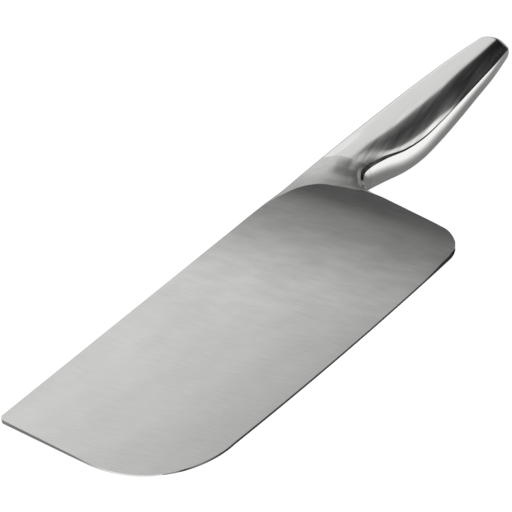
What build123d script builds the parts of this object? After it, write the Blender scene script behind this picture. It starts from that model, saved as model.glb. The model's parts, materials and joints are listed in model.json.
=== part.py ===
from build123d import *
from math import atan2, cos, degrees, radians, sin, tan
from copy import copy
import os

# Chinese cleaver, all steel, sizes in millimetres.
# Drawing frame: x runs along the straight spine from the blade's front end to the butt, y points
# out of the spine, z is across the thickness, and z = 0 is the mid plane of the blade.
# At the end the pieces are laid down: the knife rests on one side, on the blade's front curve
# and the fullest part of the grip, with the origin under the middle of its box.

# Blade plate
blade_length = 199.5
blade_height = 81.4
spine_thickness = 2.4
edge_thickness = 0.5
front_lean = 10.0
spine_corner_radius = 1.8
spine_edge_round = 0.5
belly_radius = 46.0
edge_radius = 2000.0
edge_low_share = 0.83
heel_radius = 11.4

# Ground cutting edge
bevel_height = 0.6
cutting_edge_thickness = 0.06
bevel_end_radius = 52.0
bevel_end_touch_angle = 7.0

# Scoop in each side of the blade, ahead of the bolster: a long shallow entry, then a bowl.
# Setbacks are counted along the spine from the blade's back end.
scoop_lean = 21.8
scoop_setback = 77.5
scoop_entry_length = 37.0
scoop_entry_radius = 3800.0
scoop_radius = 55.0
scoop_exit_angle = 38.0
plate_end_setback = 35.5
plate_end_lean = 25.5

# Bolster and grip
bolster_reach = 41.5
seam_setback = 1.5
seam_lean_run = 5.6
grip_length = 117.0
grip_depth = 30.3
grip_thickness = 19.0
crease_width = 14.6
crease_bevel_run = 1.5
crease_bevel_rise = 1.0
spine_round = 4.0
belly_bulge = 1.3
butt_drop = 3.9
butt_lean_run = 4.1
butt_radius = 32.0
notch_depth = 34.0

# Hollow grip and what it holds
shell_wall = 1.2
butt_wall = 2.5
tang_length = 46.0
tang_height = 11.0
tang_thickness = 6.0
tang_root = 5.0
weight_gap = 6.0
weight_length = 34.0
weight_clearance = 0.15

# Where on the belly's curve the knife rests, counted from its centre's level downwards
rest_angle = 27.0

# How far cutting tools run past what they cut
overrun = 12.0

half_spine = spine_thickness / 2
half_edge = edge_thickness / 2
half_cutting_edge = cutting_edge_thickness / 2
seam_x = blade_length - seam_setback
quarter_turn = 90

# Stations of the envelope, from far ahead of the bolster to the butt. Each is a cross-section in
# an upright plane that holds a spine point and a crease point, where the crease is the corner
# between the side and the narrow underside. Ahead of the seam the planes fan round the notch
# between the heel and the grip, behind it they stand across the grip.

# Bolster: distances ahead of the blade's back end as shares of the bolster's reach, crease depths
# as shares of the blade's height, sizes as shares of the largest ones in the group above, angles
# in degrees
bolster_spine_share = [1.00, 0.721, 0.577, 0.495, 0.423, 0.303, 0.183]
bolster_crease_ahead_share = [0.014, 0.018, 0.059, 0.103, 0.133, 0.084, 0.005]
bolster_crease_depth_share = [1.032, 0.805, 0.644, 0.495, 0.381, 0.327, 0.300]
bolster_flat_share = [0.96, 0.20, 0.20, 0.20, 0.20, 0.20, 0.20]
bolster_round_share = [0.08, 0.17, 0.22, 0.32, 0.46, 0.58, 0.62]
bolster_flank_angle = [30, 30, 28, 28, 28, 28, 29]
bolster_hump_place_share = [0.50, 0.55, 0.55, 0.58, 0.62, 0.68, 0.69]
bolster_hump_share = [0.20, 0.27, 0.36, 0.445, 0.49, 0.56, 0.70]
bolster_upper_angle = [0, 1, 1, 2, 3, 4, 4]
bolster_lower_angle = [-1, -1, -2, -2, -3, -3, -3]
bolster_skirt_angle = [-2, -2, -3, -4, -7, -12, -14]
bolster_bevel_share = [0.06, 0.10, 0.15, 0.25, 0.45, 0.80, 1.00]
bolster_crease_share = [0.08, 0.25, 0.38, 0.48, 0.56, 0.68, 0.82]
bolster_bulge_share = [0.04, 0.08, 0.12, 0.20, 0.40, 0.60, 0.75]

# Grip: spine points as shares of the grip's length, spine drops as shares of the butt's, leans
# as shares of the seam's and the butt's, crease depths as shares of the grip's depth
grip_spine_share = [0.0, 0.103, 0.206, 0.318, 0.446, 0.584, 0.730, 0.863, 1.0]
grip_drop_share = [0.00, 0.02, 0.05, 0.08, 0.14, 0.22, 0.38, 0.60, 0.95]
grip_seam_lean_share = [1.0, 0.50, 0.18, 0.0, 0.0, 0.0, 0.0, 0.0, 0.0]
grip_butt_lean_share = [0.0, 0.0, 0.0, 0.0, 0.0, 0.0, 0.05, 0.40, 1.0]
grip_crease_depth_share = [0.802, 0.865, 0.963, 1.0, 0.965, 0.901, 0.823, 0.745, 0.627]
grip_flat_share = [0.20, 0.20, 0.20, 0.20, 0.20, 0.20, 0.20, 0.20, 0.20]
grip_round_share = [0.75, 0.92, 1.0, 1.0, 1.0, 0.98, 0.92, 0.84, 0.72]
grip_flank_angle = [28, 30, 30, 30, 30, 30, 30, 30, 30]
grip_hump_place_share = [0.70, 0.65, 0.59, 0.57, 0.575, 0.575, 0.56, 0.565, 0.57]
grip_hump_share = [0.853, 0.926, 0.985, 1.0, 0.968, 0.905, 0.800, 0.690, 0.540]
grip_upper_angle = [4, 5, 6, 8, 9, 10, 11, 12, 12]
grip_lower_angle = [-3, -5, -8, -11, -13, -14, -14, -14, -14]
grip_skirt_angle = [-14, -11, -8, -6, -6, -8, -10, -12, -13]
grip_bevel_share = [1.0, 0.75, 0.48, 0.34, 0.24, 0.18, 0.15, 0.14, 0.13]
grip_crease_share = [0.925, 1.0, 0.918, 0.890, 0.870, 0.808, 0.685, 0.560, 0.340]
grip_bulge_share = [0.85, 0.95, 1.0, 1.0, 1.0, 0.95, 0.80, 0.60, 0.25]


# One station: the plane it lies in, and its depth from the spine to the crease
def make_station(spine_point, crease_point, sizes):
    run = crease_point[0] - spine_point[0]
    fall = crease_point[1] - spine_point[1]
    plane = Plane(
        origin=(spine_point[0], spine_point[1], 0),
        x_dir=(run, fall, 0),
        z_dir=(fall, -run, 0),
    )
    return {"plane": plane, "depth": (run**2 + fall**2) ** 0.5, **sizes}


stations = []
for i in range(len(bolster_spine_share)):
    sizes = {
        "flat": half_spine * bolster_flat_share[i],
        "round": spine_round * bolster_round_share[i],
        "flank_angle": bolster_flank_angle[i],
        "hump_place_share": bolster_hump_place_share[i],
        "hump": grip_thickness / 2 * bolster_hump_share[i],
        "upper_angle": bolster_upper_angle[i],
        "lower_angle": bolster_lower_angle[i],
        "skirt_angle": bolster_skirt_angle[i],
        "bevel_run": crease_bevel_run * bolster_bevel_share[i],
        "bevel_rise": crease_bevel_rise * bolster_bevel_share[i],
        "crease": crease_width / 2 * bolster_crease_share[i],
        "bulge": belly_bulge * bolster_bulge_share[i],
    }
    spine_point = (blade_length - bolster_reach * bolster_spine_share[i], 0)
    crease_point = (
        blade_length - bolster_reach * bolster_crease_ahead_share[i],
        -blade_height * bolster_crease_depth_share[i],
    )
    stations.append(make_station(spine_point, crease_point, sizes))

seam_station = len(stations)
for i in range(len(grip_spine_share)):
    sizes = {
        "flat": half_spine * grip_flat_share[i],
        "round": spine_round * grip_round_share[i],
        "flank_angle": grip_flank_angle[i],
        "hump_place_share": grip_hump_place_share[i],
        "hump": grip_thickness / 2 * grip_hump_share[i],
        "upper_angle": grip_upper_angle[i],
        "lower_angle": grip_lower_angle[i],
        "skirt_angle": grip_skirt_angle[i],
        "bevel_run": crease_bevel_run * grip_bevel_share[i],
        "bevel_rise": crease_bevel_rise * grip_bevel_share[i],
        "crease": crease_width / 2 * grip_crease_share[i],
        "bulge": belly_bulge * grip_bulge_share[i],
    }
    crease_run = seam_lean_run * grip_seam_lean_share[i] + butt_lean_run * grip_butt_lean_share[i]
    spine_point = (seam_x + grip_length * grip_spine_share[i], -butt_drop * grip_drop_share[i])
    crease_point = (spine_point[0] + crease_run, -grip_depth * grip_crease_depth_share[i])
    stations.append(make_station(spine_point, crease_point, sizes))

notch_station = bolster_crease_ahead_share.index(max(bolster_crease_ahead_share))
butt_plane = stations[-1]["plane"]


def heading(angle):
    return (cos(radians(angle)), sin(radians(angle)))


# Half section of a station, on the +z side: flat and round of the spine, flank up to the hump,
# skirt down to the crease with its small bevel, bulging underside. An inset moves it all inwards.
def half_section(station, inset=0.0):
    depth = station["depth"] - inset
    crease = station["crease"] - inset
    hump_point = (station["depth"] * station["hump_place_share"], station["hump"] - inset)
    skirt_point = (depth - station["bevel_run"], crease + station["bevel_rise"])
    belly_point = (depth + station["bulge"], 0)
    with BuildSketch(station["plane"]) as section:
        with BuildLine():
            Line((inset, 0), (inset, station["flat"]))
            round_arc = JernArc(
                start=(inset, station["flat"]),
                tangent=heading(quarter_turn),
                radius=station["round"] - inset,
                arc_size=station["flank_angle"] - quarter_turn,
            )
            Spline(
                [round_arc @ 1, hump_point],
                tangents=[heading(station["flank_angle"]), heading(station["upper_angle"])],
            )
            Spline(
                [hump_point, skirt_point],
                tangents=[heading(station["lower_angle"]), heading(station["skirt_angle"])],
            )
            Line(skirt_point, (depth, crease))
            TangentArc(belly_point, (depth, crease), tangent=heading(quarter_turn))
            Line(belly_point, (inset, 0))
        make_face()
    return section.sketch


# The butt seen from its side: x points out of the butt's middle
butt_middle = butt_plane.from_local_coords((stations[-1]["depth"] / 2, 0))
butt_side_plane = Plane(origin=butt_middle, x_dir=-butt_plane.z_dir, z_dir=(0, 0, 1))

# Envelopes of the bolster and of the grip, one half each, which meet at the seam. The bolster is
# two lofts that meet in the notch, and the grip's butt is curved.
with BuildPart() as bolster_half:
    loft(sections=[half_section(station) for station in stations[: notch_station + 1]])
    loft(sections=[half_section(station) for station in stations[notch_station : seam_station + 1]])

with BuildPart() as grip_half:
    loft(sections=[half_section(station) for station in stations[seam_station:]])
    with BuildSketch(butt_side_plane):
        Rectangle(2 * overrun, 2 * grip_depth)
        with Locations((-butt_radius, 0)):
            Circle(butt_radius, mode=Mode.SUBTRACT)
    extrude(amount=grip_thickness, mode=Mode.SUBTRACT)

# Outline of the blade plate seen from its side
outline_fall = blade_height + overrun
edge_center = Vector(blade_length * edge_low_share, edge_radius - blade_height, 0)
with BuildSketch() as plate_outline:
    with BuildLine():
        Polyline(
            (0, 0),
            (outline_fall * tan(radians(front_lean)), -outline_fall),
            (blade_length, -outline_fall),
            (blade_length, 0),
            close=True,
        )
    make_face()
    with Locations(edge_center):
        Circle(edge_radius, mode=Mode.INTERSECT)
    front_corner = plate_outline.vertices().sort_by_distance((0, -blade_height))[0]
    fillet(front_corner, radius=belly_radius)
    heel_corner = plate_outline.vertices().sort_by_distance((blade_length, -blade_height))[0]
    fillet(heel_corner, radius=heel_radius)
    spine_corner = plate_outline.vertices().sort_by_distance((0, 0))[0]
    fillet(spine_corner, radius=spine_corner_radius)

# Across the scoop's lean stand its sketch, with x in the blade's side, and the plate's end
face_slope = (half_spine - half_edge) / blade_height
lean_run = cos(radians(scoop_lean))
lean_rise = sin(radians(scoop_lean))
scoop_plane = Plane(
    origin=(blade_length - scoop_setback, 0, half_spine),
    x_dir=(lean_run, lean_rise, face_slope * lean_rise),
    z_dir=(lean_rise, -lean_run, -face_slope * lean_run),
)
plate_end_plane = Plane(
    origin=(blade_length - plate_end_setback, 0, 0),
    z_dir=(cos(radians(plate_end_lean)), sin(radians(plate_end_lean)), 0),
)


# Ring that grinds the cutting edge's bevel along an arc, swung about the arc's centre from a
# start angle, counted from straight down, towards the front
def bevel_ring(radius, center, start_angle, angle):
    bevel_rise = half_edge - half_cutting_edge
    start = radians(start_angle)
    plane = Plane(
        origin=center,
        x_dir=(sin(start), -cos(start), 0),
        z_dir=(-cos(start), -sin(start), 0),
    )
    with BuildPart() as ring:
        with BuildSketch(plane):
            with BuildLine():
                Polyline(
                    (radius, half_cutting_edge),
                    (radius - 2 * bevel_height, half_cutting_edge + 2 * bevel_rise),
                    (radius + overrun, half_cutting_edge + 2 * bevel_rise),
                    (radius + overrun, half_cutting_edge),
                    close=True,
                )
            make_face()
        revolve(axis=Axis(center, (0, 0, -1)), revolution_arc=angle)
    return ring.part


# The bevel's front end follows a wider arc than the belly, touches it a little ahead of the
# belly's low end, and so runs out along the curve
belly_arc = plate_outline.edges().filter_by(GeomType.CIRCLE).sort_by_distance((0, -blade_height))[0]
belly_center = belly_arc.arc_center
belly_low_end = belly_arc.vertices().sort_by(Axis.Y)[0]
low_end_angle = degrees(atan2(belly_low_end.X - belly_center.X, belly_center.Y - belly_low_end.Y))
touch_angle = low_end_angle - bevel_end_touch_angle
bevel_end_center = belly_center - (bevel_end_radius - belly_radius) * Vector(
    sin(radians(touch_angle)), -cos(radians(touch_angle)), 0
)

# Plate of the blade, one half, before its side is ground
with BuildPart() as plate_half:
    with BuildSketch():
        add(plate_outline.sketch)
    extrude(amount=spine_thickness)
    split(bisect_by=plate_end_plane, keep=Keep.BOTTOM)

# One half of the blade: bolster out of the envelope, plate, side with its scoop, cutting edge
with BuildPart() as blade_half:
    add(bolster_half.part)
    with BuildSketch():
        add(plate_outline.sketch)
        with Locations((blade_length + overrun, -notch_depth)):
            Rectangle(blade_length, notch_depth + overrun, align=(Align.MAX, Align.MIN))
    extrude(amount=grip_thickness, mode=Mode.INTERSECT)
    add(plate_half.part)
    with BuildSketch(scoop_plane):
        with BuildLine():
            side_line = Line((-blade_length, 0), (0, 0))
            entry_arc = TangentArc(
                side_line @ 1,
                (scoop_entry_length, scoop_entry_length**2 / (2 * scoop_entry_radius)),
                tangent=side_line % 1,
            )
            bowl_arc = JernArc(
                start=entry_arc @ 1,
                tangent=entry_arc % 1,
                radius=scoop_radius,
                arc_size=scoop_exit_angle,
            )
            exit_line = PolarLine(bowl_arc @ 1, length=grip_thickness, direction=bowl_arc % 1)
            top_corner = (-blade_length, (exit_line @ 1).Y)
            Polyline(exit_line @ 1, top_corner, side_line @ 0)
        make_face()
    extrude(amount=blade_length, both=True, mode=Mode.SUBTRACT)
    with BuildSketch(Plane.YZ.offset(-overrun)):
        with Locations((-spine_edge_round, half_spine - spine_edge_round)):
            Rectangle(overrun, overrun, align=(Align.MIN, Align.MIN))
            Circle(spine_edge_round, mode=Mode.SUBTRACT)
    extrude(amount=overrun + blade_length - plate_end_setback, mode=Mode.SUBTRACT)
    add(bevel_ring(edge_radius, edge_center, 0, 4 * quarter_turn), mode=Mode.SUBTRACT)
    add(bevel_ring(bevel_end_radius, bevel_end_center, low_end_angle, quarter_turn), mode=Mode.SUBTRACT)

# Blade: both halves and the stub tang, whose middle line runs at half the seam's depth
tang_middle = -grip_depth * grip_crease_depth_share[0] / 2
with BuildPart() as blade_drawn:
    add(blade_half.part)
    mirror(about=Plane.XY)
    with BuildSketch(Plane.XY.offset(-tang_thickness / 2)) as tang_outline:
        with Locations((seam_x - tang_root, tang_middle)):
            Rectangle(tang_length + tang_root, tang_height, align=(Align.MIN, Align.CENTER))
        nose_corners = tang_outline.vertices().group_by(Axis.X)[-1]
        fillet(nose_corners, radius=tang_height / 3)
    extrude(amount=tang_thickness)

# Hollow of the grip, one half, closed at the butt
grip_stations = stations[seam_station:]
with BuildPart() as hollow_half:
    loft(sections=[half_section(station, shell_wall) for station in grip_stations])
    split(bisect_by=butt_plane.offset(butt_wall), keep=Keep.TOP)

# Half shells of the grip, welded along the mid plane
with BuildPart() as shell_left_drawn:
    add(grip_half.part)
    add(hollow_half.part, mode=Mode.SUBTRACT)

with BuildPart() as shell_right_drawn:
    add(mirror(shell_left_drawn.part, about=Plane.XY, mode=Mode.PRIVATE))

# Balance weight, shut in behind the tang's nose
weight_start_plane = Plane(
    origin=(seam_x + tang_length + weight_gap, 0, 0), x_dir=(0, -1, 0), z_dir=(-1, 0, 0)
)
with BuildPart() as weight_drawn:
    loft(sections=[half_section(station, shell_wall + weight_clearance) for station in grip_stations])
    split(bisect_by=weight_start_plane, keep=Keep.BOTTOM)
    split(bisect_by=weight_start_plane.offset(-weight_length), keep=Keep.TOP)
    mirror(about=Plane.XY)

# Laying down: the underside touches the table on the belly's curve and under the grip's hump,
# and the table's plane holds the curve's tangent there
rest = radians(rest_angle)
front_rest = Vector(
    belly_center.X - belly_radius * cos(rest),
    belly_center.Y - belly_radius * sin(rest),
    -half_spine - face_slope * (belly_center.Y - belly_radius * sin(rest)),
)
front_tangent = Vector(-sin(rest), cos(rest), -face_slope * cos(rest))
hump_station = stations[seam_station + 2]
hump_depth = hump_station["depth"] * hump_station["hump_place_share"]
grip_rest = hump_station["plane"].from_local_coords((hump_depth, -hump_station["hump"]))
table_plane = Plane(
    origin=front_rest,
    x_dir=(1, 0, 0),
    z_dir=(grip_rest - front_rest).cross(front_tangent),
)
drawn_pieces = {
    "blade": blade_drawn.part,
    "handle_shell_left": shell_left_drawn.part,
    "handle_shell_right": shell_right_drawn.part,
    "balance_weight": weight_drawn.part,
}
laid_pieces = {name: table_plane.to_local_coords(piece) for name, piece in drawn_pieces.items()}
box = Compound(children=[copy(piece) for piece in laid_pieces.values()]).bounding_box()
to_origin = Location((-box.center().X, -box.center().Y, -box.min.Z))

os.makedirs("parts", exist_ok=True)
for name, laid in laid_pieces.items():
    with BuildPart() as piece:
        add(laid.moved(to_origin))
    piece.part.label = name
    export_step(piece.part, f"parts/{name}.step")
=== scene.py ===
import bmesh
import bpy
import json
import numpy as np
from math import cos, pi, radians, sin
from mathutils import Matrix, Vector


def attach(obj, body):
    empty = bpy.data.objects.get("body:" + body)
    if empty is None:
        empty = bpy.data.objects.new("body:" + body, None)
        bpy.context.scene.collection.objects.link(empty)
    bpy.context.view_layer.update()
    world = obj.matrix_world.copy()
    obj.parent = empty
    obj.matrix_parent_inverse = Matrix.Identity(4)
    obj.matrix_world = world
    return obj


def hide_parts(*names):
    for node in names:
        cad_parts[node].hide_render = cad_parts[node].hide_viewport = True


# Chinese cleaver, all steel, lying on its right side. Sizes in metres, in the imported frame.
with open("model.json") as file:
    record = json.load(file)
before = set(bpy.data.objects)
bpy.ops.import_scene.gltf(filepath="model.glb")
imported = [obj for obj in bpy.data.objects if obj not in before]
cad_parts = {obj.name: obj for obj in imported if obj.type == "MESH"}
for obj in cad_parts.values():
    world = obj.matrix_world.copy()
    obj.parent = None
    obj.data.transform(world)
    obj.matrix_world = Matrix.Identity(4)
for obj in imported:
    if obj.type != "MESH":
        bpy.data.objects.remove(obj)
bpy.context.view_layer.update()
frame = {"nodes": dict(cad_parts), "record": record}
mm = 0.001

# Knife frame: x runs along the spine towards the butt, y points out of the spine, z is across the
# thickness and 0 on the mid plane. It is found from the two flat faces that the record names,
# which stand at this place on the blade's two sides.
face_place = (0.060, -0.040)

# Camera in the knife frame
camera_place = (-0.2663, -0.3687, 0.5596)
camera_look = (0.5184, 0.4547, -0.7243)
camera_lens = 126.56
camera_sensor = 36.0

# Light. The sky's brightness goes by the cosine of the angle to its axis. The stops are set so that
# the steel reflects to the photograph's camera what it does in the photograph.
sky_axis = (0.31, 0.852, 0.423)
sky_stops = [
    (0.0, 0.03), (0.20, 0.035), (0.41, 0.07), (0.60, 0.13), (0.70, 0.17),
    (0.75, 0.24), (0.79, 0.62), (0.82, 0.86), (0.87, 0.98), (1.0, 1.0),
]
# The room lights the sides that the photograph doesn't show: what the sky's axis points away from,
# the low sky, the sky ahead of the blade, and straight above
room_light = 0.35
room_back_span = (-0.12, -0.30)
room_ahead_span = (0.0, -0.30)
room_ahead_top_span = (0.84, 0.68)
room_low_span = (0.48, 0.32)
room_low_side_span = (0.34, 0.16)
room_low_butt_span = (0.70, 0.88)
room_top_side_span = (0.24, 0.13)
room_top_ahead_span = (0.35, 0.15)
room_top_span = (0.90, 0.96)
# Towards the butt's side the light falls off, but for the bright part of the sky
side_dark_span = (0.76, 0.58)
side_dark = 0.15
side_free_span = (0.70, 0.82)
floor_half_size = 6.0
floor_white = 0.96
floor_near_white = 0.15
floor_dark_span = (0.014, 0.036)
floor_dark_spine_span = (0.034, 0.13)
grip_line = 0.022
floor_tone = 0.45
floor_camera_tone = 0.3

# Steel. Angles are the directions of the brush lines in degrees, spans are millimetres.
steel_blue = 0.985
grain_depth = 0.00003
blade_brush_angle = -68.2
bolster_brush_angle = -30.0
grip_brush_angle = 12.0
bowl_span = (-26.0, 31.0)
near_scoop_span = (-70.0, -5.0)
blade_tone = 0.67
# Painted shade: in the scoop the blade's tone is multiplied down to this share
scoop_painted_shade_share = 0.52
notch_center = (207.0, -30.0, 0.0)
neck_span = (13.5, 19.0)
neck_tone = 0.70
# Painted shade: the bolster's tone grades from dark by the scoop to lighter towards the grip
bolster_shade_span = (174.0, 192.0)
bolster_painted_shade_tones = (0.38, 0.54)
skirt_span = (-13.0, -19.0)
# The skirt is lighter than the flank: painted light, on top of the brush lines of its real finish
flank_tone, skirt_tone_with_painted_light = 0.63, 0.78
polish_tone = 0.78
weight_tone = 0.36

# Sizes of the knife, in millimetres of the knife frame
blade_length = 199.5
blade_height = 81.4
half_spine = 1.2
half_edge = 0.25
half_cutting_edge = 0.03
front_lean = 10.0
spine_corner_radius = 1.8
belly_radius = 46.0
edge_radius = 2000.0
edge_low_x = 165.6
back_top_x = 194.8
back_low_x = 201.2
heel_radius = 12.2
bevel_height = 0.6
notch_depth = 34.0
scoop_lean = 21.8
scoop_start_x = 136.0
scoop_entry_length = 26.0
scoop_entry_radius = 420.0
scoop_radius = 62.0
scoop_exit_angle = 38.0
# The bowl is where painted shade darkens the scoop's tone and its steel is rougher, across this lean
# and from this point of the spine
bowl_lean = 30.3
bowl_start_x = 128.3
crease_bevel_run = 1.5
crease_bevel_rise = 1.0
# The cutting bevel runs out above this height, at the heel and at the front
bevel_low, bevel_low_fade = 60.0, 12.0
bevel_back, bevel_back_fade = 196.0, 6.0
bevel_front, bevel_front_fade = 14.0, 22.0
# The side surfaces reach past the blade, along and across the scoop's lean
sides_front, sides_back = -170.0, 130.0
sides_across = (-70.0, 140.0)
plate_reach = 175.0
shell_wall = 1.2
butt_wall = 2.5
# The butt's rounding: how far back it starts, how round its cap and its corners are, how far it
# stands past the last section, and how much narrower and thinner it gets
butt_round = 4.4
butt_dome = 0.1
butt_corner = 0.74
butt_reach = 0.8
butt_width = 0.9
butt_thin = 0.6
crest_rise = 0.25
crest_span = 4
spine_steps = 12
flank_steps = 16
fall_steps = 14
crest_steps = 10
belly_steps = 12
forging_row_steps = 12
grip_steps = 64
butt_round_steps = 12
butt_cap_steps = 6
entry_steps = 8
bowl_steps = 26
grip_sharp_angle = 26
blade_sharp_angle = 9
tang_start, tang_end, tang_middle = 192.0, 244.0, -12.15
tang_half_height, tang_half_thickness = 5.5, 3.0
reach = 24.0

# Sections from far ahead of the bolster to the butt, each in an upright plane that holds its spine
# point and its crease point. Columns: spine point, crease point, half flat and round of the spine,
# flank angle, place of the hump as a share of the depth, hump's half thickness, angles above and
# below the hump and at the skirt's end, share of the crease's bevel, crease's half thickness, bulge
# of the underside
section_rows = np.array([
    (158.00, 0.00, 200.60, -84.01, 1.15, 0.32, 30, 0.500, 1.90, 0, -1, -2, 0.06, 1.60, 0.10),
    (169.58, 0.00, 198.95, -65.53, 0.24, 0.68, 30, 0.550, 2.70, 1, -1, -2, 0.10, 2.66, 0.16),
    (175.55, 0.00, 197.05, -52.42, 0.24, 0.88, 28, 0.550, 3.45, 1, -2, -3, 0.15, 3.30, 0.20),
    (178.96, 0.00, 195.23, -40.29, 0.24, 1.28, 28, 0.580, 4.23, 2, -2, -4, 0.25, 3.85, 0.28),
    (181.95, 0.00, 193.98, -31.01, 0.24, 1.84, 28, 0.620, 4.66, 3, -3, -7, 0.50, 4.09, 0.52),
    (186.93, 0.00, 196.01, -26.62, 0.24, 2.32, 28, 0.660, 5.40, 4, -3, -12, 0.80, 4.96, 0.78),
    (191.91, 0.00, 199.29, -24.42, 0.24, 2.48, 28, 0.590, 6.70, 3, -3, -14, 1.05, 5.99, 0.98),
    (198.00, 0.00, 203.60, -24.30, 0.24, 3.00, 29, 0.525, 8.10, 2, -4, -12, 1.05, 6.75, 1.11),
    (210.05, -0.08, 212.85, -26.21, 0.24, 3.68, 30, 0.520, 8.85, 3, -8, 0, 0.90, 7.10, 1.24),
    (222.10, -0.20, 223.11, -29.18, 0.24, 4.00, 30, 0.550, 9.40, 6, -13, 21, 0.50, 6.80, 1.30),
    (235.21, -0.31, 235.21, -30.30, 0.24, 4.00, 30, 0.560, 9.50, 8, -15, 25, 0.36, 6.60, 1.30),
    (250.18, -0.55, 250.18, -29.24, 0.24, 4.00, 30, 0.570, 9.20, 9, -16, 13, 0.24, 6.35, 1.30),
    (266.33, -0.86, 266.33, -27.30, 0.24, 3.92, 30, 0.575, 8.60, 10, -15, -6, 0.18, 5.90, 1.24),
    (283.41, -1.48, 283.62, -24.94, 0.24, 3.68, 30, 0.560, 7.60, 11, -14, -9, 0.15, 5.00, 1.04),
    (298.97, -2.34, 300.61, -22.57, 0.24, 3.36, 30, 0.565, 6.56, 12, -14, -13, 0.14, 4.09, 0.78),
    (316.70, -3.85, 317.60, -19.30, 0.24, 2.88, 30, 0.570, 5.13, 12, -14, -14, 0.13, 2.48, 0.33),
])
seam_row = 7
hump_column = 8


def knife_frame():
    mounts = {mount["name"]: mount for mount in frame["record"]["mounts"]}
    upper, under = mounts["upper_side"], mounts["under_side"]
    upper_out, under_out = Vector(upper["axis"]), Vector(under["axis"])
    z_axis = (upper_out - under_out).normalized()
    y_axis = -(upper_out + under_out).normalized()
    x_axis = y_axis.cross(z_axis).normalized()
    middle = (Vector(upper["pos_m"]) + Vector(under["pos_m"])) / 2
    origin = middle - x_axis * face_place[0] - y_axis * face_place[1]
    columns = Matrix((x_axis, y_axis, z_axis)).transposed().to_4x4()
    return Matrix.Translation(origin) @ columns


knife = knife_frame()


def make_camera():
    data = bpy.data.cameras.new("camera")
    data.lens = camera_lens
    data.sensor_width = camera_sensor
    data.clip_start = 0.01
    camera = bpy.data.objects.new("camera", data)
    bpy.context.scene.collection.objects.link(camera)
    turn = knife.to_3x3()
    look = (turn @ Vector(camera_look)).normalized()
    right = look.cross(turn @ Vector((0, 0, 1))).normalized()
    up = right.cross(look)
    axes = Matrix((right, up, -look)).transposed().to_4x4()
    camera.matrix_world = Matrix.Translation(knife @ Vector(camera_place)) @ axes
    bpy.context.scene.camera = camera


# Node graphs: one short call a node, with inputs given as values or as other nodes' outputs
class Graph:
    def __init__(self, owner):
        owner.use_nodes = True
        self.tree = owner.node_tree
        self.tree.nodes.clear()

    def node(self, kind, inputs=None, **settings):
        node = self.tree.nodes.new("ShaderNode" + kind)
        for name, value in settings.items():
            setattr(node, name, value)
        for name, value in (inputs or {}).items():
            if isinstance(value, bpy.types.NodeSocket):
                self.tree.links.new(value, node.inputs[name])
            else:
                node.inputs[name].default_value = value
        return node

    def math(self, operation, *values):
        inputs = dict(enumerate(values))
        return self.node("Math", inputs, operation=operation).outputs[0]

    def chain(self, operation, first, *others):
        result = first
        for value in others:
            result = self.math(operation, result, value)
        return result

    # Noise as a swing of this size to both sides of 0
    def swing(self, noise, size):
        return self.math("MULTIPLY", self.math("SUBTRACT", noise, 0.5), size)

    def span(self, value, low, high, new_low=0.0, new_high=1.0):
        inputs = {
            "Value": value, "From Min": low, "From Max": high, "To Min": new_low, "To Max": new_high,
        }
        return self.node("MapRange", inputs, interpolation_type="SMOOTHSTEP").outputs[0]

    def mix(self, share, low, high):
        node = self.node("Mix", {"Factor": share, "A": low, "B": high}, data_type="FLOAT")
        return node.outputs[0]

    def knife_place(self):
        inverse = knife.inverted()
        inputs = {
            "Vector": self.node("TexCoord").outputs["Object"],
            "Scale": (1 / mm, 1 / mm, 1 / mm),
            "Rotation": inverse.to_euler("XYZ"),
            "Location": inverse.translation / mm,
        }
        return self.node("Mapping", inputs, vector_type="POINT").outputs[0]

    def noise(self, place, turn, lengths, detail):
        inputs = {"Vector": place, "Rotation": (0, 0, radians(turn)), "Scale": lengths}
        stretched = self.node("Mapping", inputs, vector_type="TEXTURE").outputs[0]
        inputs = {"Vector": stretched, "Scale": 1.0, "Detail": detail}
        return self.node("TexNoise", inputs).outputs["Fac"]

    def output(self, kind, socket):
        self.node(kind, {"Surface": socket})


def make_world():
    world = bpy.data.worlds.new("studio")
    bpy.context.scene.world = world
    graph = Graph(world)
    coords = graph.node("TexCoord").outputs["Generated"]
    dot = graph.node("VectorMath", {0: coords, 1: sky_axis}, operation="DOT_PRODUCT")
    ramp = graph.node("ValToRGB", {"Fac": dot.outputs["Value"]})
    ramp.color_ramp.interpolation = "B_SPLINE"
    elements = ramp.color_ramp.elements
    elements.remove(elements[-1])
    elements[0].position = sky_stops[0][0]
    elements[0].color = (sky_stops[0][1],) * 3 + (1,)
    for place, value in sky_stops[1:]:
        elements.new(place).color = (value,) * 3 + (1,)
    x, y, z = graph.node("SeparateXYZ", {0: coords}).outputs
    side = graph.span(x, *side_dark_span, side_dark, 1.0)
    free = graph.span(dot.outputs["Value"], *side_free_span)
    sky = graph.math("MULTIPLY", ramp.outputs["Color"], graph.mix(free, side, 1.0))
    low = graph.chain(
        "MULTIPLY",
        graph.span(z, *room_low_span),
        graph.span(graph.math("ABSOLUTE", y), *room_low_side_span),
        graph.span(x, *room_low_butt_span),
    )
    top = graph.chain(
        "MULTIPLY",
        graph.span(y, *room_top_side_span),
        graph.span(x, *room_top_ahead_span),
        graph.span(z, *room_top_span),
    )
    ahead = graph.math(
        "MULTIPLY", graph.span(x, *room_ahead_span), graph.span(z, *room_ahead_top_span)
    )
    back = graph.span(dot.outputs["Value"], *room_back_span)
    lit = graph.chain("MAXIMUM", back, ahead, low, top)
    room = graph.math("MULTIPLY", lit, room_light)
    background = graph.node("Background", {"Strength": graph.math("MAXIMUM", sky, room)})
    background.inputs["Color"].default_value = (1, 1, 1, 1)
    graph.output("OutputWorld", background.outputs[0])
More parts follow.
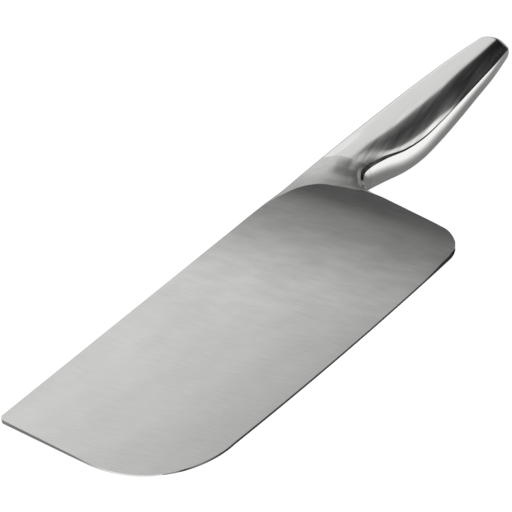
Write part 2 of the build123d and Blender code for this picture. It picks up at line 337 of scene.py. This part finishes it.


# The floor is white to the camera. A glossy ray sees it darker in a strip along the grip and the
# spine, wider on the spine's side: painted shade, which stands in for the floor's shade by the grip
# that the grip reflects there.
def make_floor():
    bpy.ops.mesh.primitive_plane_add(size=2 * floor_half_size)
    floor = bpy.context.object
    floor.name = "floor"
    material = bpy.data.materials.new("floor")
    graph = Graph(material)
    path = graph.node("LightPath")
    place = graph.node("NewGeometry").outputs["Position"]
    aside = graph.math("SUBTRACT", graph.node("SeparateXYZ", {0: place}).outputs["Y"], grip_line)
    below_grip = graph.span(graph.math("MULTIPLY", aside, -1.0), *floor_dark_span)
    far = graph.math("MAXIMUM", below_grip, graph.span(aside, *floor_dark_spine_span))
    glossy = graph.mix(far, floor_near_white, 1.0)
    strength = graph.math(
        "ADD",
        graph.math("MULTIPLY", path.outputs["Is Camera Ray"], floor_white),
        graph.math("MULTIPLY", path.outputs["Is Glossy Ray"], glossy),
    )
    white = graph.node("Emission", {"Strength": strength})
    seen = graph.mix(path.outputs["Is Camera Ray"], floor_tone, floor_camera_tone)
    tone = graph.node("CombineColor", {0: seen, 1: seen, 2: seen})
    diffuse = graph.node("BsdfDiffuse", {"Color": tone.outputs[0]})
    both = graph.node("AddShader", {0: white.outputs[0], 1: diffuse.outputs[0]})
    graph.output("OutputMaterial", both.outputs[0])
    floor.data.materials.append(material)


# Bare steel of this tone, a little less blue than grey
def finish_steel(graph, tone, roughness, bump=None):
    color = graph.node(
        "CombineColor", {0: tone, 1: tone, 2: graph.math("MULTIPLY", tone, steel_blue)}
    )
    inputs = {"Base Color": color.outputs[0], "Metallic": 1.0, "Roughness": roughness}
    if bump:
        inputs["Normal"] = bump.outputs[0]
    shader = graph.node("BsdfPrincipled", inputs)
    graph.output("OutputMaterial", shader.outputs[0])


# Ground and brushed steel of the blade's sides: the brush lines run along the scoop. The scoop is
# darker in the material too, as painted shade, because the sky alone leaves it too pale.
def blade_steel():
    material = bpy.data.materials.new("blade_steel")
    graph = Graph(material)
    place = graph.knife_place()
    fine = graph.noise(place, blade_brush_angle, (7.0, 0.35, 0.35), 4.0)
    streak = graph.noise(place, blade_brush_angle, (34.0, 1.6, 1.6), 4.0)
    mottle = graph.noise(place, -8.0, (42.0, 15.0, 15.0), 5.0)
    patch = graph.noise(place, blade_brush_angle, (14.0, 5.0, 5.0), 5.0)
    across = (cos(radians(bowl_lean)), sin(radians(bowl_lean)), 0.0)
    dot = graph.node("VectorMath", {0: place, 1: across}, operation="DOT_PRODUCT")
    into_scoop = dot.outputs["Value"]
    start = bowl_start_x * across[0]
    bowl = graph.span(into_scoop, start + bowl_span[0], start + bowl_span[1], 1.0, 0.0)
    near_scoop = graph.span(
        into_scoop, start + near_scoop_span[0], start + near_scoop_span[1], 0.03, 0.22
    )
    bright = graph.chain(
        "ADD",
        blade_tone,
        graph.swing(fine, 0.12),
        graph.swing(streak, 0.05),
        graph.swing(mottle, 0.13),
        graph.swing(patch, near_scoop),
    )
    # Painted shade: the tone is multiplied down in the scoop
    tone = graph.math("MULTIPLY", bright, graph.mix(bowl, scoop_painted_shade_share, 1.0))
    roughness = graph.math(
        "ADD", graph.mix(bowl, 0.20, 0.12), graph.math("MULTIPLY", streak, 0.08)
    )
    bump = graph.node("Bump", {"Strength": 0.30, "Distance": grain_depth, "Height": fine})
    finish_steel(graph, tone, roughness, bump)
    return material


# Finer brushed steel of the bolster, with painted shade that darkens it towards the scoop, and a
# polished neck by the notch
def bolster_steel():
    material = bpy.data.materials.new("bolster_steel")
    graph = Graph(material)
    place = graph.knife_place()
    x = graph.node("SeparateXYZ", {0: place}).outputs["X"]
    fine = graph.noise(place, bolster_brush_angle, (20.0, 0.35, 0.35), 3.0)
    streak = graph.noise(place, bolster_brush_angle, (26.0, 1.6, 1.6), 3.0)
    from_notch = graph.node("VectorMath", {0: place, 1: notch_center}, operation="SUBTRACT")
    flat = graph.node(
        "VectorMath", {0: from_notch.outputs[0], 1: (1.0, 1.0, 0.0)}, operation="MULTIPLY"
    )
    away = graph.node("VectorMath", {0: flat.outputs[0]}, operation="LENGTH").outputs["Value"]
    brushed = graph.span(away, *neck_span)
    # Painted shade: the tone grades darker towards the scoop along the knife
    bright = graph.chain(
        "ADD",
        graph.span(x, *bolster_shade_span, *bolster_painted_shade_tones),
        graph.swing(fine, 0.14),
        graph.swing(streak, 0.14),
    )
    tone = graph.mix(brushed, neck_tone, bright)
    bump = graph.node("Bump", {
        "Strength": graph.math("MULTIPLY", brushed, 0.30), "Distance": grain_depth, "Height": fine,
    })
    finish_steel(graph, tone, graph.mix(brushed, 0.12, 0.30), bump)
    return material


# Steel of the grip: smooth on the flank by the spine, brushed along the grip on the skirt below
# the hump, polished on the underside
def handle_steel():
    material = bpy.data.materials.new("handle_steel")
    graph = Graph(material)
    place = graph.knife_place()
    y = graph.node("SeparateXYZ", {0: place}).outputs["Y"]
    fine = graph.noise(place, grip_brush_angle, (18.0, 0.5, 0.5), 3.0)
    streak = graph.noise(place, grip_brush_angle, (40.0, 2.2, 2.2), 3.0)
    smudge = graph.noise(place, 0.0, (22.0, 9.0, 9.0), 4.0)
    brushed = graph.span(y, *skirt_span)
    lines = graph.math("ADD", graph.swing(fine, 0.50), graph.swing(streak, 1.00))
    # Painted light: the skirt gets a lighter tone than the flank, besides its brush lines
    tone = graph.chain(
        "ADD",
        graph.mix(brushed, flank_tone, skirt_tone_with_painted_light),
        graph.math("MULTIPLY", brushed, lines),
        graph.swing(smudge, 0.06),
    )
    rough_lines = graph.math("ADD", 0.13, graph.math("MULTIPLY", streak, 0.14))
    bump = graph.node("Bump", {
        "Strength": graph.mix(brushed, 0.03, 0.25), "Distance": grain_depth, "Height": streak,
    })
    finish_steel(graph, tone, graph.mix(brushed, 0.12, rough_lines), bump)
    return material


# The grip's rounded underside is polished bright
def polished_steel():
    material = bpy.data.materials.new("polished_steel")
    graph = Graph(material)
    smudge = graph.noise(graph.knife_place(), 0.0, (30.0, 8.0, 8.0), 3.0)
    tone = graph.math("ADD", polish_tone, graph.math("MULTIPLY", smudge, 0.04))
    roughness = graph.math("ADD", 0.07, graph.math("MULTIPLY", smudge, 0.04))
    finish_steel(graph, tone, roughness)
    return material


# Turned slug shut in the grip: dull and grey, with turning marks round its axis
def weight_steel():
    material = bpy.data.materials.new("weight_steel")
    graph = Graph(material)
    place = graph.knife_place()
    marks = graph.noise(place, 0.0, (0.4, 60.0, 60.0), 2.0)
    blotch = graph.noise(place, 0.0, (6.0, 6.0, 6.0), 4.0)
    tone = graph.math("ADD", weight_tone, graph.math("MULTIPLY", blotch, 0.14))
    color = graph.node("CombineColor", {0: tone, 1: tone, 2: tone})
    roughness = graph.math("ADD", 0.35, graph.math("MULTIPLY", blotch, 0.2))
    bump = graph.node("Bump", {"Strength": 0.4, "Distance": 0.00008, "Height": marks})
    shader = graph.node("BsdfPrincipled", {
        "Base Color": color.outputs[0], "Metallic": 1.0, "Roughness": roughness,
        "Normal": bump.outputs[0],
    })
    graph.output("OutputMaterial", shader.outputs[0])
    return material


def heading(angle):
    return np.array((cos(radians(angle)), sin(radians(angle))))


def line(start, end, count):
    return [start + (end - start) * i / count for i in range(1, count + 1)]


# Cubic from start to end whose tangents are as long as the chord
def curve(start, end, start_angle, end_angle, count):
    chord = np.linalg.norm(end - start)
    start_run, end_run = heading(start_angle) * chord, heading(end_angle) * chord
    points = []
    for i in range(1, count + 1):
        t = i / count
        points.append(
            start * (2 * t**3 - 3 * t**2 + 1)
            + start_run * (t**3 - 2 * t**2 + t)
            + end * (3 * t**2 - 2 * t**3)
            + end_run * (t**3 - t**2)
        )
    return points


# Parabola from start to end that touches the lines to the corner
def bend(start, corner, end, count):
    shares = [i / count for i in range(1, count + 1)]
    return [start * (1 - t) ** 2 + corner * 2 * t * (1 - t) + end * t**2 for t in shares]


# One section, from the spine's middle to the belly's, as points of the knife frame
def section(row, inset):
    spine, crease_point = row[0:2], row[2:4]
    flat, radius, flank_angle, hump_place, half_hump = row[4:9]
    upper, lower, skirt_angle, bevel, crease, bulge = row[9:]
    full_depth = np.linalg.norm(crease_point - spine)
    along = (crease_point - spine) / full_depth
    radius = radius - inset
    depth = full_depth - inset
    crease = crease - inset
    rise = crest_rise * half_hump / section_rows[:, hump_column].max()
    crest = np.array((full_depth * hump_place, half_hump - inset + rise))
    skirt = np.array((depth - crease_bevel_run * bevel, crease + crease_bevel_rise * bevel))
    points = [np.array((inset, 0.0))]
    points += line(points[-1], np.array((inset, flat)), 1)
    for k in range(1, spine_steps + 1):
        angle = radians((90 - flank_angle) * k / spine_steps)
        points.append(np.array((inset + radius - radius * cos(angle), flat + radius * sin(angle))))
    flank = curve(points[-1], crest, flank_angle, upper, flank_steps)
    fall = curve(crest, skirt, lower, skirt_angle, fall_steps)
    hump = bend(flank[-crest_span - 1], crest, fall[crest_span - 1], crest_steps)
    points += flank[:-crest_span] + hump + fall[crest_span:]
    points += line(skirt, np.array((depth, crease)), 2)
    belly_round = (crease**2 + bulge**2) / (2 * bulge)
    half_angle = np.arcsin(crease / belly_round)
    for k in range(1, belly_steps + 1):
        angle = half_angle * (1 - k / belly_steps)
        down = depth + bulge - belly_round * (1 - cos(angle))
        points.append(np.array((down, belly_round * sin(angle))))
    return [np.array((*(spine + along * a), b)) for a, b in points]


# Rings from one place among the sections to another, on a spline through all of them that keeps
# its knots apart by the root of each step
def rings(inset, first, last, count):
    grid = np.array([section(row, inset) for row in section_rows])
    knots = [0.0]
    for i in range(1, len(grid)):
        knots.append(knots[-1] + np.linalg.norm(grid[i] - grid[i - 1], axis=1).mean() ** 0.5)
    runs = []
    for i in range(len(grid)):
        low, high = max(i - 1, 0), min(i + 1, len(grid) - 1)
        if low < i < high:
            before = (grid[i] - grid[low]) / (knots[i] - knots[low])
            after = (grid[high] - grid[i]) / (knots[high] - knots[i])
            share = (knots[i] - knots[low]) / (knots[high] - knots[low])
            runs.append(before * (1 - share) + after * share)
        else:
            runs.append((grid[high] - grid[low]) / (knots[high] - knots[low]))
    result = []
    for k in range(count + 1):
        place = first + (last - first) * k / count
        i = min(int(place), len(grid) - 2)
        t, width = place - i, knots[i + 1] - knots[i]
        result.append(
            grid[i] * (2 * t**3 - 3 * t**2 + 1)
            + runs[i] * width * (t**3 - 2 * t**2 + t)
            + grid[i + 1] * (3 * t**2 - 2 * t**3)
            + runs[i + 1] * width * (t**3 - t**2)
        )
    return result


# Rings that close the butt: round its edge over, then run in to its middle
def close_butt(grid):
    last = grid[-1]
    middle = (last[0] + last[-1]) / 2
    along = (last[-1] - last[0]) / np.linalg.norm(last[-1] - last[0])
    out = np.array((-along[1], along[0], 0.0))
    height, thickness = (last - middle) @ along, last[:, 2]
    half_height, half_width = np.linalg.norm(last[-1] - last[0]) / 2, thickness.max()
    turn = np.arctan2(thickness / half_width, -height / half_height)
    oval_height, oval_thickness = -half_height * np.cos(turn), butt_width * half_width * np.sin(turn)
    for k in range(1, butt_round_steps + 1):
        angle = pi / 2 * k / butt_round_steps
        share = sin(angle) ** 2
        narrow, thin = 1 - butt_corner * (1 - cos(angle)), 1 - butt_thin * (1 - cos(angle))
        ring_height = (height * (1 - share) + oval_height * share) * narrow
        ring = middle + np.outer(ring_height, along) + out * (butt_round - butt_dome) * sin(angle)
        ring[:, 2] = (thickness * (1 - share) + oval_thickness * share) * thin
        grid.append(ring)
    rim = grid[-1]
    middle = (rim[0] + rim[-1]) / 2
    for k in range(1, butt_cap_steps):
        share = 1 - k / butt_cap_steps
        grid.append(middle + (rim - middle) * share + out * butt_dome * (1 - share**2))
    return grid, middle + out * butt_dome


def new_object(name, mesh, *materials):
    bmesh.ops.recalc_face_normals(mesh, faces=mesh.faces)
    data = bpy.data.meshes.new(name)
    mesh.to_mesh(data)
    mesh.free()
    for material in materials:
        data.materials.append(material)
    made = bpy.data.objects.new(name, data)
    bpy.context.scene.collection.objects.link(made)
    return made


def shade(piece, sharp_angle):
    piece.data.shade_smooth()
    piece.data.set_sharp_from_angle(angle=radians(sharp_angle))


# Half shell of the grip from the seam to the butt, with its wall. Side is 1 above the mid plane
# and -1 below it.
def shell_piece(name, side):
    last = len(section_rows) - 1
    span = section_rows[-1, 0] - section_rows[-2, 0]
    start_of_round = butt_round - butt_reach
    outer = rings(0.0, seam_row, last - start_of_round / span, grip_steps)
    inner = rings(shell_wall, seam_row, last - (start_of_round + butt_wall) / span, grip_steps)
    outer, outer_tip = close_butt(outer)
    inner, inner_tip = close_butt(inner)
    mesh = bmesh.new()

    def add(point):
        return mesh.verts.new(knife @ (Vector((point[0], point[1], side * point[2])) * mm))

    out_rows = [[add(point) for point in ring] for ring in outer]
    in_rows = [[add(point) for point in ring] for ring in inner]
    out_tip, in_tip = add(outer_tip), add(inner_tip)
    for rows, tip in ((out_rows, out_tip), (in_rows, in_tip)):
        for low, high in zip(rows, rows[1:]):
            for j in range(len(low) - 1):
                face = mesh.faces.new((low[j], low[j + 1], high[j + 1], high[j]))
                face.material_index = int(j >= len(low) - 1 - belly_steps)
        for j in range(len(rows[-1]) - 1):
            mesh.faces.new((rows[-1][j], rows[-1][j + 1], tip))
    for j in (0, -1):
        for i in range(len(out_rows) - 1):
            mesh.faces.new(
                (out_rows[i][j], out_rows[i + 1][j], in_rows[i + 1][j], in_rows[i][j])
            )
        mesh.faces.new((out_rows[-1][j], out_tip, in_tip, in_rows[-1][j]))
    for j in range(len(out_rows[0]) - 1):
        mesh.faces.new((out_rows[0][j], out_rows[0][j + 1], in_rows[0][j + 1], in_rows[0][j]))
    piece = new_object(name, mesh, steel["handle"], steel["polish"])
    shade(piece, grip_sharp_angle)
    return piece


# Closed solid from closed rings of points in the knife frame, with a flat face at each end
def ringed_solid(name, loops, material):
    mesh = bmesh.new()
    rows = [[mesh.verts.new(knife @ (Vector(point) * mm)) for point in loop] for loop in loops]
    for low, high in zip(rows, rows[1:]):
        for j in range(len(low)):
            mesh.faces.new((low[j - 1], low[j], high[j], high[j - 1]))
    mesh.faces.new(rows[0])
    mesh.faces.new(rows[-1])
    return new_object(name, mesh, material)


# Exact boolean that uses the tool up. Faces keep the material of the solid that they come from.
def combine(solid, tool, operation):
    modifier = solid.modifiers.new("combine", "BOOLEAN")
    modifier.operation = operation
    modifier.solver = "EXACT"
    modifier.material_mode = "TRANSFER"
    modifier.object = tool
    evaluated = solid.evaluated_get(bpy.context.evaluated_depsgraph_get())
    data = bpy.data.meshes.new_from_object(evaluated)
    solid.modifiers.clear()
    solid.data = data
    bpy.data.objects.remove(tool)


# Points of an arc round a centre, from one angle to another, in degrees
def arc(center, radius, start, end, count):
    angles = np.radians(np.linspace(start, end, count + 1))
    return [np.array((center[0] + radius * cos(a), center[1] + radius * sin(a))) for a in angles]


# Corner between two lines, each given by a point and its direction, rounded to a radius
def rounded_corner(before, corner, after, radius, count):
    back, ahead = before - corner, after - corner
    back, ahead = back / np.linalg.norm(back), ahead / np.linalg.norm(ahead)
    half = np.arccos(back @ ahead) / 2
    center = corner + (back + ahead) / np.linalg.norm(back + ahead) * radius / sin(half)
    touch = [corner + run * radius / np.tan(half) for run in (back, ahead)]
    start, end = [np.degrees(np.arctan2(*(point - center)[::-1])) for point in touch]
    end = start + (end - start + 180) % 360 - 180
    return arc(center, radius, start, end, count)


# Outline of the blade seen from its side, with the neck's way out of it behind the notch
def outline():
    def edge(x):
        rise = edge_radius - (edge_radius**2 - (x - edge_low_x) ** 2) ** 0.5
        return np.array((x, rise - blade_height))

    front = blade_height * np.tan(radians(front_lean))
    low = edge(front)
    heel = edge(back_low_x)
    top, back = np.array((0.0, 0.0)), np.array((back_top_x, -notch_depth))
    points = rounded_corner(np.array((reach, 0.0)), top, low, spine_corner_radius, 8)
    belly = rounded_corner(top, low, edge(front + belly_radius / 2), belly_radius, 48)
    rear = rounded_corner(edge(back_low_x - heel_radius), heel, back, heel_radius, 24)
    points += belly
    points += [edge(x) for x in np.linspace(belly[-1][0], rear[0][0], 42)[1:-1]]
    points += rear
    points += [back, back + (reach, 0), (blade_length + reach, reach), (reach, reach), (reach, 0)]
    return [np.array(point) for point in points]


# Share of the cutting bevel at a point of the outline
def bevel_share(x, y):
    low = np.clip((-y - bevel_low) / bevel_low_fade, 0.0, 1.0)
    behind = np.clip((bevel_back - x) / bevel_back_fade, 0.0, 1.0)
    ahead = np.clip((x - bevel_front) / bevel_front_fade, 0.0, 1.0)
    return low * behind * ahead


# The outline as an upright solid, whose walls lean in above and below the cutting edge to grind it
def outline_solid():
    points = outline()
    top = half_cutting_edge + 2 * (half_edge - half_cutting_edge)
    deep = 2 * bevel_height
    loops = []
    for z, inset in (
        (-reach, deep), (-top, deep), (-half_cutting_edge, 0.0),
        (half_cutting_edge, 0.0), (top, deep), (reach, deep),
    ):
        loops.append([(x, y + inset * bevel_share(x, y), z) for x, y in points])
    return ringed_solid("outline", loops, steel["blade"])


# The blade's two sides: flat and thinning towards the edge, then the scoop's long entry and its
# bowl, ruled along the scoop's lean
def sides_solid():
    profile = [(sides_front, 0.0), (0.0, 0.0)]
    for k in range(1, entry_steps + 1):
        u = scoop_entry_length * k / entry_steps
        profile.append((u, u**2 / (2 * scoop_entry_radius)))
    entry_angle = np.arcsin(scoop_entry_length / scoop_entry_radius)
    u, z = profile[-1]
    for k in range(1, bowl_steps + 1):
        angle = entry_angle + radians(scoop_exit_angle) * k / bowl_steps
        profile.append((
            u + scoop_radius * (sin(angle) - sin(entry_angle)),
            z + scoop_radius * (cos(entry_angle) - cos(angle)),
        ))
    exit_run = (reach - profile[-1][1]) / np.tan(entry_angle + radians(scoop_exit_angle))
    profile.append((profile[-1][0] + exit_run, reach))
    profile.append((sides_back, reach))
    run, lean = cos(radians(scoop_lean)), sin(radians(scoop_lean))
    face_slope = (half_spine - half_edge) / blade_height
    loops = []
    for w in sides_across:
        upper = []
        for u, rise in profile:
            x, y = scoop_start_x + u * run + w * lean, u * lean - w * run
            upper.append((x, y, half_spine + face_slope * y + rise))
        loops.append(upper + [(x, y, -z) for x, y, z in reversed(upper)])
    return ringed_solid("sides", loops, steel["blade"])


# The blade: the envelope of the sections, carried on ahead as a plate, cut by the sides and by the
# outline, with the tang that reaches into the grip
def blade_piece():
    halves = rings(0.0, 0, seam_row, forging_row_steps * seam_row)
    ahead = halves[0].copy()
    ahead[:, 0] -= plate_reach
    ahead[:, 2] = np.minimum(ahead[:, 2], half_spine)
    halves.insert(0, ahead)
    loops = [list(half) + [(x, y, -z) for x, y, z in half[-2:0:-1]] for half in halves]
    blade = ringed_solid("blade_forging", loops, steel["bolster"])
    combine(blade, sides_solid(), "INTERSECT")
    combine(blade, outline_solid(), "INTERSECT")
    low, high = tang_middle - tang_half_height, tang_middle + tang_half_height
    half = tang_half_thickness
    ends = [
        [(x, low, -half), (x, low, half), (x, high, half), (x, high, -half)]
        for x in (tang_start, tang_end)
    ]
    combine(blade, ringed_solid("tang", ends, steel["bolster"]), "UNION")
    shade(blade, blade_sharp_angle)
    return blade


make_camera()
make_world()
make_floor()
steel = {
    "blade": blade_steel(),
    "bolster": bolster_steel(),
    "handle": handle_steel(),
    "polish": polished_steel(),
}
weight = frame["nodes"]["balance_weight"]
weight.data.materials.clear()
weight.data.materials.append(weight_steel())
blade = blade_piece()
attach(blade, "root")
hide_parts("blade")
for node_name, side in (("handle_shell_left", 1), ("handle_shell_right", -1)):
    piece = shell_piece(node_name.replace("handle", "grip"), side)
    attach(piece, "root")
    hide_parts(node_name)

bpy.context.scene.view_settings.view_transform = "Standard"
